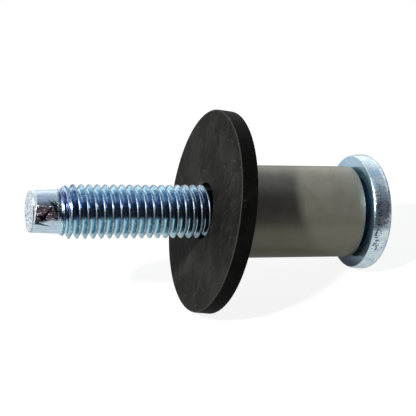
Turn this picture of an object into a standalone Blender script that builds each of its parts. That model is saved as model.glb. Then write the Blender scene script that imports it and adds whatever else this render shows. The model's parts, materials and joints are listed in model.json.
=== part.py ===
"""Locking pin bolt with its loose sleeve and plain washer, lying as it comes to rest.

The bolt's own frame has its axis along X: the dog point at -X, the washer's shoulder at
x = 0 and the head at +X. All three pieces hang from one empty, which tilts the bolt about Y
until the washer's rim and the head's rim both stand on z = 0, as the real one lies on a bench.
"""
import math

import bmesh
import bpy
from mathutils import Vector

MM = 0.001

# Thread: M10 x 1.5, right hand
THREAD_MAJOR_DIAMETER = 9.85 * MM
THREAD_PITCH = 1.5 * MM
THREAD_LENGTH = 31.25 * MM        # from the dog point to the shoulder
THREAD_DEPTH = 0.9 * MM
THREAD_ROOT_FLAT = 0.26 * MM
THREAD_CREST_FLAT = 0.2 * MM
THREAD_START_SLOPE = 0.55         # rise of the first turns above the dog point
THREAD_END_SLOPE = 0.6            # fall of the last turn into the neck
NECK_LENGTH = 1.4 * MM            # plain neck between the thread and the shoulder

# Dog point
DOG_LENGTH = 5.2 * MM
DOG_TIP_DIAMETER = 7.5 * MM
DOG_BASE_DIAMETER = 7.95 * MM
DOG_CHAMFER = 0.4 * MM
DOG_LEAD_IN = 0.74 * MM           # stretch over which the thread's start blends into the dog

# Plain shank, which carries the sleeve
SHANK_DIAMETER = 13.3 * MM
SHANK_LENGTH = 25.9 * MM          # from the shoulder to the head's underside
SHANK_CHAMFER = 0.3 * MM
SHANK_FILLET = 0.4 * MM

# Head: round, with a barrel-shaped rim and a six-lobe drive recess
HEAD_DIAMETER = 22.2 * MM
HEAD_UNDERSIDE_DIAMETER = 21.4 * MM
HEAD_FACE_DIAMETER = 16.6 * MM
HEAD_THICKNESS = 4.3 * MM
HEAD_BELLY = 2.2 * MM             # from the underside to the rim's widest place
DRIVE_LOBE_DIAMETER = 8.8 * MM
DRIVE_VALLEY_DIAMETER = 6.4 * MM
DRIVE_DEPTH = 3.6 * MM
DRIVE_MOUTH_CHAMFER = 0.2 * MM
DRIVE_FLOOR_CONE = 0.6 * MM
DRIVE_LOBES = 6

# Sleeve, free to turn on the shank
RUNNING_GAP = 0.3 * MM
SLEEVE_WALL = 1.78 * MM
SLEEVE_END_PLAY = 1.0 * MM        # how much shorter the sleeve is than the shank
SLEEVE_OUTER_CHAMFER = 0.25 * MM
SLEEVE_BORE_CHAMFER = 0.6 * MM

# Washer, loose on the thread and leaning against the shoulder
WASHER_DIAMETER = 38.0 * MM
WASHER_THICKNESS = 3.05 * MM
WASHER_BORE_CLEARANCE = 1.35 * MM
WASHER_EDGE_CHAMFER = 0.25 * MM
WASHER_BORE_CHAMFER = 0.35 * MM
WASHER_LEAN = math.radians(6.65)  # its top leant to the head, its foot pushed out by the load
SEAT_GAP = 0.3 * MM

ROUND_SEGMENTS = 36               # facets of the bolt and washer, wide enough to rest on without rolling
FINE_SEGMENTS = 72                # facets of the sleeve and the drive recess
RIM_STEPS = 6                     # facets of each curve of the head's rim

SHANK_RADIUS = SHANK_DIAMETER / 2
SLEEVE_BORE_RADIUS = SHANK_RADIUS + RUNNING_GAP
SLEEVE_RADIUS = SLEEVE_BORE_RADIUS + SLEEVE_WALL
SLEEVE_LENGTH = SHANK_LENGTH - SLEEVE_END_PLAY
WASHER_RADIUS = WASHER_DIAMETER / 2
WASHER_BORE_RADIUS = (THREAD_MAJOR_DIAMETER + WASHER_BORE_CLEARANCE) / 2
THREAD_ROOT_RADIUS = THREAD_MAJOR_DIAMETER / 2 - THREAD_DEPTH
THREAD_START_X = -THREAD_LENGTH
TIP_X = THREAD_START_X - DOG_LENGTH


def remove_everything():
    """Clear the scene's objects."""
    for thing in list(bpy.data.objects):
        bpy.data.objects.remove(thing, do_unlink=True)


def make_material(name, colour, metallic, roughness):
    """A Principled material of one plain finish."""
    material = bpy.data.materials.new(name)
    material.use_nodes = True
    shader = material.node_tree.nodes["Principled BSDF"]
    shader.inputs["Base Color"].default_value = (*colour, 1.0)
    shader.inputs["Metallic"].default_value = metallic
    shader.inputs["Roughness"].default_value = roughness
    return material


def facet_angle(index, segments):
    """Angle of a ring's corner about the axis, with the middle of a facet at the bottom."""
    return 2 * math.pi * (index + 0.5) / segments


def on_axis(x, radius, angle):
    """Point at a radius and an angle about the X axis; zero is +Y and a quarter turn is +Z."""
    return Vector((x, radius * math.cos(angle), radius * math.sin(angle)))


def add_ring(bm, x, radius, segments):
    """Ring of corners; radius is a number, or a function of the angle."""
    ring = []
    for index in range(segments):
        angle = facet_angle(index, segments)
        reach = radius(angle) if callable(radius) else radius
        ring.append(bm.verts.new(on_axis(x, reach, angle)))
    return ring


def join_rings(bm, first, second):
    """Faces between two rings of corners, the second as fine as the first or finer."""
    ratio = len(second) // len(first)
    offset = ratio // 2
    for index, corner in enumerate(first):
        after = first[(index + 1) % len(first)]
        start = index * ratio + offset
        run = [second[(start + step) % len(second)] for step in range(ratio + 1)]
        bm.faces.new([corner, after, *reversed(run)])


def join_chain(bm, rings):
    """Faces along a list of rings."""
    for first, second in zip(rings, rings[1:]):
        join_rings(bm, first, second)


def finish_mesh(bm, name, material, parent):
    """Turn the bmesh into a smooth-shaded object with its faces pointing out."""
    bmesh.ops.recalc_face_normals(bm, faces=bm.faces[:])
    mesh = bpy.data.meshes.new(name)
    bm.to_mesh(mesh)
    bm.free()
    mesh.materials.append(material)
    mesh.shade_smooth()
    mesh.set_sharp_from_angle(angle=math.radians(30))
    thing = bpy.data.objects.new(name, mesh)
    bpy.context.scene.collection.objects.link(thing)
    thing.parent = parent
    return thing


def dog_radius(x):
    """Radius of the slightly tapered dog point at a place along the axis."""
    share = (x - TIP_X) / DOG_LENGTH
    return (DOG_TIP_DIAMETER + (DOG_BASE_DIAMETER - DOG_TIP_DIAMETER) * share) / 2


def thread_profile():
    """One pitch of the thread: places along the axis and full radii, root first."""
    flank = (THREAD_PITCH - THREAD_ROOT_FLAT - THREAD_CREST_FLAT) / 2
    crest_radius = THREAD_MAJOR_DIAMETER / 2
    places = (0.0, THREAD_ROOT_FLAT, THREAD_ROOT_FLAT + flank, THREAD_ROOT_FLAT + flank + THREAD_CREST_FLAT)
    radii = (THREAD_ROOT_RADIUS, THREAD_ROOT_RADIUS, crest_radius, crest_radius)
    return list(zip(places, radii))


def thread_radius(x, full_radius, end_x):
    """Radius of a thread corner, faded in from the dog point and out into the neck."""
    start_limit = dog_radius(min(x, THREAD_START_X)) + THREAD_START_SLOPE * max(0.0, x - THREAD_START_X)
    end_limit = THREAD_ROOT_RADIUS + THREAD_END_SLOPE * max(0.0, end_x - x)
    return min(full_radius, start_limit, end_limit)


def add_thread(bm, start_ring, end_ring):
    """Right-hand helical thread between two rings: four helices of corners, one pitch a turn.

    Helix p starts half a turn round from the rings' first corner. Its corner i stands at
    x = start + place(p) + pitch * i / segments, turned by i segments. The two ends of the
    strip are closed on the rings with a fan of triangles beside the first corner.
    """
    count = ROUND_SEGMENTS
    half = count // 2
    first_x = THREAD_START_X - DOG_LEAD_IN
    profile = thread_profile()
    last_place = profile[-1][0]
    turns = int((-NECK_LENGTH - first_x - last_place) / THREAD_PITCH)
    end_x = first_x + last_place + THREAD_PITCH * turns

    helices = []
    for place, full_radius in profile:
        helix = []
        for index in range(turns * count + 1):
            x = first_x + place + THREAD_PITCH * index / count
            radius = thread_radius(x, full_radius, end_x)
            helix.append(bm.verts.new(on_axis(x, radius, facet_angle(index + half, count))))
        helices.append(helix)

    for lower, upper in zip(helices, helices[1:]):
        for index in range(turns * count):
            bm.faces.new([lower[index], lower[index + 1], upper[index + 1], upper[index]])
    crest, root = helices[-1], helices[0]
    for index in range((turns - 1) * count):
        bm.faces.new([crest[index], crest[index + 1], root[index + 1 + count], root[index + count]])

    start = start_ring[half:] + start_ring[:half]
    for index in range(count - 1):
        bm.faces.new([start[index], start[index + 1], root[index + 1], root[index]])
    chain = [start[-1], start[0], *(helix[0] for helix in helices), root[count]]
    for low, high in zip(chain, chain[1:]):
        bm.faces.new([root[count - 1], low, high])

    end = end_ring[half:] + end_ring[:half]
    last = (turns - 1) * count
    for index in range(1, count):
        corner = end[(index + 1) % count]
        bm.faces.new([crest[last + index], crest[last + index + 1], corner, end[index]])
    chain = [crest[last], *(helix[-1] for helix in helices), end[0], end[1]]
    for low, high in zip(chain, chain[1:]):
        bm.faces.new([crest[last + 1], low, high])


def head_profile():
    """Head's rim as (x, radius): a short curve out from the underside, a long one to the face."""
    rim = HEAD_DIAMETER / 2
    underside = HEAD_UNDERSIDE_DIAMETER / 2
    face = HEAD_FACE_DIAMETER / 2
    points = []
    for step in range(RIM_STEPS):
        turn = math.pi / 2 * step / RIM_STEPS
        x = SHANK_LENGTH + HEAD_BELLY * (1 - math.cos(turn))
        points.append((x, underside + (rim - underside) * math.sin(turn)))
    for step in range(RIM_STEPS + 1):
        turn = math.pi / 2 * step / RIM_STEPS
        x = SHANK_LENGTH + HEAD_BELLY + (HEAD_THICKNESS - HEAD_BELLY) * math.sin(turn)
        points.append((x, face + (rim - face) * math.cos(turn)))
    return points


def drive_radius(angle):
    """Outline of the six-lobe recess: a wave between its lobes and its valleys."""
    middle = (DRIVE_LOBE_DIAMETER + DRIVE_VALLEY_DIAMETER) / 4
    swing = (DRIVE_LOBE_DIAMETER - DRIVE_VALLEY_DIAMETER) / 4
    return middle + swing * math.cos(DRIVE_LOBES * angle)


def drive_mouth_radius(angle):
    """Outline of the recess's mouth, opened by its chamfer."""
    return drive_radius(angle) + DRIVE_MOUTH_CHAMFER


def make_bolt(material, parent):
    """Dog point, thread, neck, shank and head with its drive recess, as one turned body."""
    bm = bmesh.new()
    tip = add_ring(bm, TIP_X, DOG_TIP_DIAMETER / 2 - DOG_CHAMFER, ROUND_SEGMENTS)
    bm.faces.new(tip)
    dog_start = add_ring(bm, TIP_X + DOG_CHAMFER, dog_radius(TIP_X + DOG_CHAMFER), ROUND_SEGMENTS)
    dog_end_x = THREAD_START_X - DOG_LEAD_IN - DOG_CHAMFER
    dog_end = add_ring(bm, dog_end_x, dog_radius(dog_end_x), ROUND_SEGMENTS)
    join_chain(bm, [tip, dog_start, dog_end])

    neck = add_ring(bm, -SHANK_CHAMFER, THREAD_ROOT_RADIUS, ROUND_SEGMENTS)
    add_thread(bm, dog_end, neck)
    neck_root = add_ring(bm, 0.0, THREAD_ROOT_RADIUS + SHANK_CHAMFER, ROUND_SEGMENTS)
    body = [
        (0.0, SHANK_RADIUS - SHANK_CHAMFER),
        (SHANK_CHAMFER, SHANK_RADIUS),
        (SHANK_LENGTH - SHANK_FILLET, SHANK_RADIUS),
        (SHANK_LENGTH, SHANK_RADIUS + SHANK_FILLET),
        *head_profile(),
    ]
    rings = [add_ring(bm, x, radius, ROUND_SEGMENTS) for x, radius in body]
    face_x = SHANK_LENGTH + HEAD_THICKNESS
    floor_x = face_x - DRIVE_DEPTH
    rings.append(add_ring(bm, face_x, drive_mouth_radius, FINE_SEGMENTS))
    rings.append(add_ring(bm, face_x - DRIVE_MOUTH_CHAMFER, drive_radius, FINE_SEGMENTS))
    rings.append(add_ring(bm, floor_x, drive_radius, FINE_SEGMENTS))
    join_chain(bm, [neck, neck_root, *rings])
    centre = bm.verts.new((floor_x - DRIVE_FLOOR_CONE, 0.0, 0.0))
    floor = rings[-1]
    for index, corner in enumerate(floor):
        bm.faces.new([corner, floor[(index + 1) % len(floor)], centre])
    return finish_mesh(bm, "bolt", material, parent)


def make_turned(name, profile, segments, material, parent):
    """Solid of revolution: a closed profile of (x, radius) corners spun about the X axis."""
    bm = bmesh.new()
    start = facet_angle(0, segments)
    corners = [bm.verts.new(on_axis(x, radius, start)) for x, radius in profile]
    edges = [bm.edges.new((corner, corners[(index + 1) % len(corners)])) for index, corner in enumerate(corners)]
    bmesh.ops.spin(
        bm,
        geom=corners + edges,
        cent=(0, 0, 0),
        axis=(1, 0, 0),
        angle=2 * math.pi,
        steps=segments,
        use_merge=True,
    )
    bmesh.ops.remove_doubles(bm, verts=bm.verts[:], dist=0.001 * MM)
    return finish_mesh(bm, name, material, parent)


def pipe_profile(length, bore_radius, outer_radius, bore_chamfer, outer_chamfer):
    """Chamfered half-section of a round piece with a bore, centred on x = 0."""
    half = length / 2
    return [
        (-half, bore_radius + bore_chamfer),
        (-half + bore_chamfer, bore_radius),
        (half - bore_chamfer, bore_radius),
        (half, bore_radius + bore_chamfer),
        (half, outer_radius - outer_chamfer),
        (half - outer_chamfer, outer_radius),
        (-half + outer_chamfer, outer_radius),
        (-half, outer_radius - outer_chamfer),
    ]


def washer_middle():
    """Place of the washer's middle: its back face's nearest place keeps the seat gap to the shoulder."""
    back_x = -SEAT_GAP - SHANK_RADIUS * math.tan(WASHER_LEAN)
    return back_x - WASHER_THICKNESS / 2 / math.cos(WASHER_LEAN)


def sleeve_start():
    """Place of the sleeve's front end, kept a seat gap off the leaning washer."""
    return (SLEEVE_RADIUS - SHANK_RADIUS) * math.tan(WASHER_LEAN)


def lowest_place(profile, tilt):
    """Height of a turned piece's lowest facet below its centre, its axis dipped by a tilt."""
    apothem = math.cos(math.pi / ROUND_SEGMENTS)
    return min(-x * math.sin(tilt) - radius * apothem * math.cos(tilt) for x, radius in profile)


def resting_tilt(washer_profile):
    """Tilt about Y at which the washer's rim and the head's rim stand on one plane."""
    low, high = 0.0, math.radians(60)
    head = head_profile()
    for _ in range(60):
        tilt = (low + high) / 2
        middle = -washer_middle() * math.sin(tilt)
        if middle + lowest_place(washer_profile, tilt + WASHER_LEAN) < lowest_place(head, tilt):
            low = tilt
        else:
            high = tilt
    return tilt


def set_on_origin(frame, things):
    """Move the whole model so that its box stands on z = 0 with its middle on the origin."""
    bpy.context.view_layer.update()
    corners = [thing.matrix_world @ vertex.co for thing in things for vertex in thing.data.vertices]
    lows = [min(corner[axis] for corner in corners) for axis in range(3)]
    highs = [max(corner[axis] for corner in corners) for axis in range(3)]
    frame.location = (-(lows[0] + highs[0]) / 2, -(lows[1] + highs[1]) / 2, -lows[2])
    bpy.context.view_layer.update()


def main():
    """Build the three pieces and lay them down."""
    remove_everything()
    washer_profile = pipe_profile(
        WASHER_THICKNESS, WASHER_BORE_RADIUS, WASHER_RADIUS, WASHER_BORE_CHAMFER, WASHER_EDGE_CHAMFER
    )
    sleeve_profile = pipe_profile(
        SLEEVE_LENGTH, SLEEVE_BORE_RADIUS, SLEEVE_RADIUS, SLEEVE_BORE_CHAMFER, SLEEVE_OUTER_CHAMFER
    )
    tilt = resting_tilt(washer_profile)
    frame = bpy.data.objects.new("lying_frame", None)
    bpy.context.scene.collection.objects.link(frame)
    frame.rotation_euler = (0.0, tilt, 0.0)

    zinc = make_material("zinc_plate", (0.42, 0.55, 0.66), 1.0, 0.25)
    steel = make_material("satin_steel", (0.36, 0.35, 0.32), 1.0, 0.4)
    black = make_material("black_phosphate", (0.03, 0.03, 0.03), 0.4, 0.45)

    bolt = make_bolt(zinc, frame)
    sleeve = make_turned("sleeve", sleeve_profile, FINE_SEGMENTS, steel, frame)
    sleeve.location = (sleeve_start() + SLEEVE_LENGTH / 2, 0.0, 0.0)
    washer = make_turned("washer", washer_profile, ROUND_SEGMENTS, black, frame)
    washer.location = (washer_middle(), 0.0, 0.0)
    washer.rotation_euler = (0.0, WASHER_LEAN, 0.0)
    set_on_origin(frame, [bolt, sleeve, washer])


main()
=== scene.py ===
"""Looks of the locking pin bolt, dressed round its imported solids.

Three pieces stand for the three solids: the zinc-plated bolt, the satin sleeve that turns on
its shank, and the loose black washer. Each is worked out in its own frame, in millimetres
and with its axis along x, and is then carried to its place in the row frame.
"""
import json
import logging
import math
from dataclasses import dataclass
from enum import Enum, IntEnum

import bpy
import numpy as np
from mathutils import Matrix, Vector


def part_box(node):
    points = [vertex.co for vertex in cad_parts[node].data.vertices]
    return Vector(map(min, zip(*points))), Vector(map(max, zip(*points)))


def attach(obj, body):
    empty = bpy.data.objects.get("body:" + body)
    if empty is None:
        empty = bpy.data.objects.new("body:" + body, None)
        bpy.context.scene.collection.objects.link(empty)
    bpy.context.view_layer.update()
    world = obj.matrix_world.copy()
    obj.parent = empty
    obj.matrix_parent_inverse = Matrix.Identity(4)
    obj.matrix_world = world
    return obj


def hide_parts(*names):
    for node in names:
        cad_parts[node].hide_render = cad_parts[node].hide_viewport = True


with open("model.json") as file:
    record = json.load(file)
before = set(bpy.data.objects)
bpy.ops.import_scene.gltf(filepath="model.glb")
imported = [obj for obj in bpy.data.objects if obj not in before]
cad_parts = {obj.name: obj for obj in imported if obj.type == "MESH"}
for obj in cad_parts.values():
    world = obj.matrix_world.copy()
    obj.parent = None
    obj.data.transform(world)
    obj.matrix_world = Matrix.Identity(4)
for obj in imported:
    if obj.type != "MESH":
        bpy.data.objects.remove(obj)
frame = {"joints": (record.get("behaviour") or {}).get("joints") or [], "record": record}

LOG = logging.getLogger("locking_pin_bolt")
MM = 0.001
FULL_TURN = 2 * math.pi
SHARP_ANGLE = math.radians(32)               # edges with a sharper turn than this aren't smoothed
# The solid head and washer have 36 facets and the solid sleeve 72, so a true round fits inside
# them at these shares of their size.
BOLT_INSCRIBED = math.cos(math.pi / 36)
SLEEVE_INSCRIBED = math.cos(math.pi / 72)
# The dog point's end face leans: it lies further along by these shares of the side and the top.
END_SKEW = (-0.052, 0.021)
WHITE = (1.0, 1.0, 1.0)
EVEN = (1.0, 1.0, 1.0)                       # no stretch

Colour = tuple[float, float, float]
Span = tuple[float, float]                   # where a smooth rise starts and ends
Band = tuple[Span, Span]                     # where a band rises and where it falls again


class Body(Enum):
    """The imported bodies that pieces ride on."""

    BOLT = "bolt"
    SLEEVE = "sleeve"


class Slot(Enum):
    """The record's material slots."""

    ZINC = "zinc_plate"
    STEEL = "satin_steel"
    BLACK = "black_phosphate"


class Skin(IntEnum):
    """The bolt's stretches with a finish of their own, numbered as its materials are."""

    THREAD = 0
    RIM = 1
    DOG = 2
    SHADED = 3
    DRIVE = 4


@dataclass(frozen=True)
class Place:
    """A piece's own frame in the row frame: its origin in metres and the direction of its axis."""

    origin: Vector
    axis: Vector

    @property
    def turn(self) -> Matrix:
        """Columns are the axis, the level side and the top."""
        side = Vector((0, 0, 1)).cross(self.axis).normalized()
        return Matrix((self.axis, side, self.axis.cross(side))).transposed()

    def carry(self, points: np.ndarray) -> np.ndarray:
        """Carry points to the row frame.

        Args:
            points: rows of x, y and z in the piece's own frame, in millimetres.

        Returns:
            The same points in the row frame, in metres.
        """
        return np.array(self.origin) + points @ np.array(self.turn).T * MM


@dataclass(frozen=True)
class Pattern:
    """A noise pattern: patches for each millimetre, octaves, and strength of the finer ones.

    It may be leaned by an angle in degrees about y, and then pressed together along x, y and z
    by the stretch's factors.
    """

    scale: float
    detail: float = 2.0
    rough: float = 0.5
    stretch: tuple[float, float, float] = EVEN
    lean: float = 0.0


class Signal:
    """A number that varies over a surface: a node's output that answers to arithmetic.

    Each sign adds one Math node, so 1 - mask * 0.5 reads as it is worked out.
    """

    def __init__(self, bench: "Bench", socket: bpy.types.NodeSocket) -> None:
        """Keep the socket and the bench that the next nodes go on."""
        self.bench = bench
        self.socket = socket

    def __add__(self, other: "Signal | float") -> "Signal":
        """Sum."""
        return self.bench.maths("ADD", self, other)

    __radd__ = __add__

    def __sub__(self, other: "Signal | float") -> "Signal":
        """Difference."""
        return self.bench.maths("SUBTRACT", self, other)

    def __rsub__(self, other: float) -> "Signal":
        """Difference from a plain number."""
        return self.bench.maths("SUBTRACT", other, self)

    def __mul__(self, other: "Signal | float") -> "Signal":
        """Product."""
        return self.bench.maths("MULTIPLY", self, other)

    __rmul__ = __mul__

    def __pow__(self, other: float) -> "Signal":
        """Power."""
        return self.bench.maths("POWER", self, other)

    def __abs__(self) -> "Signal":
        """Size without its sign."""
        return self.bench.maths("ABSOLUTE", self)

    def rise(self, low: float, high: float) -> "Signal":
        """Smooth rise from 0 at low to 1 at high.

        Args:
            low: value at which the result is still 0.
            high: value from which the result is 1.

        Returns:
            The risen signal.
        """
        node = self.bench.add(
            "ShaderNodeMapRange",
            {"interpolation_type": "SMOOTHSTEP"},
            {"Value": self, "From Min": low, "From Max": high},
        )
        return Signal(self.bench, node.outputs["Result"])

    def within(self, climb: Span, fall: Span) -> "Signal":
        """Smooth band: rise over the climb * (1 - rise over the fall)."""
        return self.rise(*climb) * (1 - self.rise(*fall))

    def near(self, middle: float, span: Span) -> "Signal":
        """1 at the middle, down to 0 where the distance from it rises through the span."""
        return 1 - abs(self - middle).rise(*span)


Feed = Signal | bpy.types.NodeSocket | float | tuple


class Bench:
    """Node tree of one material or world, with one method that makes any node."""

    def __init__(self, tree: bpy.types.NodeTree) -> None:
        """Empty the tree and keep it."""
        self.tree = tree
        tree.nodes.clear()

    def add(
        self, kind: str, settings: dict | None = None, feeds: dict | None = None
    ) -> bpy.types.Node:
        """Make a node, set it, then feed its sockets.

        Args:
            kind: Blender's name of the node's type.
            settings: properties of the node, such as a Math node's operation.
            feeds: a value or a link for each socket, by the socket's name or number.

        Returns:
            The new node.
        """
        node = self.tree.nodes.new(kind)
        for name, value in (settings or {}).items():
            setattr(node, name, value)
        for socket, value in (feeds or {}).items():
            self.feed(node.inputs[socket], value)
        return node

    def feed(self, socket: bpy.types.NodeSocket, value: Feed) -> None:
        """Link or set one input socket."""
        source = value.socket if isinstance(value, Signal) else value
        if isinstance(source, bpy.types.NodeSocket):
            self.tree.links.new(source, socket)
        elif socket.type == "RGBA":
            socket.default_value = (*source, 1.0)
        else:
            socket.default_value = source

    def maths(self, operation: str, *values: Feed) -> Signal:
        """One Math node on one or two values."""
        node = self.add("ShaderNodeMath", {"operation": operation}, dict(enumerate(values)))
        return Signal(self, node.outputs[0])

    def blend(self, share: Feed, first: Feed, second: Feed) -> bpy.types.NodeSocket:
        """Colour between two colours.

        Args:
            share: 0 for the first colour and 1 for the second.
            first: colour, or the output of a colour.
            second: colour, or the output of a colour.

        Returns:
            The output of the mixed colour.
        """
        node = self.add("ShaderNodeMix", {"data_type": "RGBA"}, {0: share, 6: first, 7: second})
        return node.outputs[2]

    def layers(self, base: Feed, *coats: tuple[Feed, Feed]) -> bpy.types.NodeSocket:
        """Colour under coats that are laid one after the other.

        Args:
            base: the colour underneath.
            coats: for each coat the share of it that covers, and its colour.

        Returns:
            The output of the colour on top.
        """
        for share, colour in coats:
            base = self.blend(share, base, colour)
        return base

    def stretch(
        self, vector: bpy.types.NodeSocket, factors: tuple[float, float, float]
    ) -> bpy.types.NodeSocket:
        """Vector with each part multiplied by its own factor."""
        node = self.add("ShaderNodeVectorMath", {"operation": "MULTIPLY"}, {0: vector, 1: factors})
        return node.outputs[0]

    def lean(self, vector: bpy.types.NodeSocket, angle: float) -> bpy.types.NodeSocket:
        """Vector turned about y, so that its x runs upwards by an angle in degrees."""
        rotation = (0.0, math.radians(angle), 0.0)
        node = self.add("ShaderNodeMapping", None, {"Vector": vector, "Rotation": rotation})
        return node.outputs[0]

    def split(self, vector: bpy.types.NodeSocket) -> list[Signal]:
        """The three parts of a vector."""
        node = self.add("ShaderNodeSeparateXYZ", None, {0: vector})
        return [Signal(self, part) for part in node.outputs]

    def noise(self, vector: bpy.types.NodeSocket, pattern: Pattern) -> Signal:
        """Noise between 0 and 1.

        Args:
            vector: where the noise is read, in millimetres.
            pattern: the noise's sizes.

        Returns:
            The noise as a signal.
        """
        if pattern.lean:
            vector = self.lean(vector, pattern.lean)
        if pattern.stretch != EVEN:
            vector = self.stretch(vector, pattern.stretch)
        feeds = {"Scale": pattern.scale, "Detail": pattern.detail, "Roughness": pattern.rough}
        node = self.add("ShaderNodeTexNoise", None, {"Vector": vector, **feeds})
        return Signal(self, node.outputs["Fac"])

    def rays(self, *kinds: str) -> list[Signal]:
        """For each kind of ray, such as Camera, a signal that is 1 for it."""
        path = self.add("ShaderNodeLightPath")
        return [Signal(self, path.outputs[f"Is {kind} Ray"]) for kind in kinds]

    def own_frame(self, place: Place) -> bpy.types.NodeSocket:
        """Object coordinates turned into a piece's own frame, in millimetres."""
        coordinates = self.add("ShaderNodeTexCoord")
        mapping = self.add(
            "ShaderNodeMapping",
            {"vector_type": "TEXTURE"},
            {
                "Vector": coordinates.outputs["Object"],
                "Location": tuple(place.origin),
                "Rotation": tuple(place.turn.to_euler()),
                "Scale": (MM, MM, MM),
            },
        )
        return mapping.outputs[0]

    def bump(self, height: Signal, distance: float) -> bpy.types.NodeSocket:
        """Normal of a fine relief, whose height of 1 stands for a distance in millimetres."""
        feeds = {"Strength": 1.0, "Distance": distance * MM, "Height": height}
        return self.add("ShaderNodeBump", None, feeds).outputs[0]

    def surface(self, feeds: dict[str, Feed]) -> None:
        """Close the tree with a Principled shader."""
        shader = self.add("ShaderNodeBsdfPrincipled", None, feeds)
        self.add("ShaderNodeOutputMaterial", None, {"Surface": shader.outputs[0]})


def new_bench(name: str) -> tuple[bpy.types.Material, Bench]:
    """A new material and its bench."""
    material = bpy.data.materials.new(name)
    material.use_nodes = True
    return material, Bench(material.node_tree)


class Finish:
    """A finish by its name, which the finishes below fill in."""

    name: str

    def feeds(self, bench: Bench, where: bpy.types.NodeSocket) -> dict[str, Feed]:
        """What feeds the shader's sockets, worked out on the bench."""
        raise NotImplementedError

    def material(self, place: Place) -> bpy.types.Material:
        """Make the finish's material.

        Args:
            place: own frame of the piece that wears it.

        Returns:
            The material.
        """
        material, bench = new_bench(self.name)
        bench.surface(self.feeds(bench, bench.own_frame(place)))
        return material


def reach_of(side: Signal, top: Signal) -> Signal:
    """Distance from the axis: the square root of side^2 + top^2."""
    return (side * side + top * top) ** 0.5


@dataclass(frozen=True)
class Stroke:
    """A straight dark stroke on the dog point, broad where it starts and pointed where it ends.

    Its two ends are given as a place along the axis and a height across the struck flat.
    """

    start: tuple[float, float]
    tip: tuple[float, float]
    half_width: float

    def mask(self, along: Signal, across: Signal, waver: Signal) -> Signal:
        """Share of the stroke in the surface, 1 inside it.

        With s the distance from its start towards its tip and d the distance from its middle
        line, it is inside where d + waver is under half width * (1 - s / length) and s is over 0.

        Args:
            along: place along the axis.
            across: height across the flat.
            waver: small number that bends the stroke's edges.

        Returns:
            The share as a signal.
        """
        (x0, w0), (x1, w1) = self.start, self.tip
        length = math.hypot(x1 - x0, w1 - w0)
        dx, dw = (x1 - x0) / length, (w1 - w0) / length
        gone = along * dx + across * dw - (x0 * dx + w0 * dw)
        off = abs(along * dw - across * dx - (x0 * dw - w0 * dx))
        left_over = self.half_width - gone * (self.half_width / length) - off - waver
        return left_over.rise(-0.05, 0.05) * gone.rise(-0.15, 0.0)


@dataclass(frozen=True)
class StruckMarks:
    """The dark gashes round the struck flat and the creases in it.

    Facing holds the side and the top of the direction that the flat faces.
    """

    facing: tuple[float, float] = (-0.97, 0.24)
    gash: Colour = (0.04, 0.06, 0.08)
    gashes: tuple[Stroke, ...] = (
        Stroke((-31.9, 1.2), (-33.75, 2.65), 0.24),
        Stroke((-32.4, 1.35), (-33.5, 2.1), 0.15),
        Stroke((-31.8, 1.4), (-32.75, 2.65), 0.2),
        Stroke((-31.4, 1.2), (-31.95, 2.75), 0.14),
        Stroke((-32.1, 1.5), (-30.9, -1.2), 0.46),
        Stroke((-36.2, -1.4), (-32.9, -2.25), 0.3),
    )
    creases: tuple[Stroke, ...] = (
        Stroke((-34.7, -0.9), (-32.2, 2.1), 0.34),
        Stroke((-34.1, -0.6), (-36.8, -0.1), 0.24),
        Stroke((-33.2, -1.2), (-36.6, -0.9), 0.24),
        Stroke((-31.9, 1.35), (-36.6, 1.95), 0.26),
        Stroke((-31.6, -0.8), (-34.4, -1.05), 0.32),
        Stroke((-32.3, 1.3), (-31.5, -1.6), 0.34),
    )

    def outward(self, side: Signal, top: Signal) -> Signal:
        """Height over the axis on the side that the flat faces."""
        return side * self.facing[0] + top * self.facing[1]

    def masks(self, parts: list[Signal], waver: Signal) -> tuple[Signal, Signal]:
        """Shares of the gashes and of the creases, on the side that the flat faces.

        Args:
            parts: x, y and z in the bolt's own frame.
            waver: noise around 0.5 that bends the strokes' edges.

        Returns:
            Share of the gashes and share of the creases.
        """
        along, side, top = parts
        across = top * -self.facing[0] + side * self.facing[1]
        near = self.outward(side, top).rise(1.0, 2.0)
        bend = (waver - 0.5) * 0.3
        return tuple(
            sum((stroke.mask(along, across, bend) for stroke in strokes), 0.0).rise(0.0, 1.0) * near
            for strokes in (self.gashes, self.creases)
        )


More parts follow.
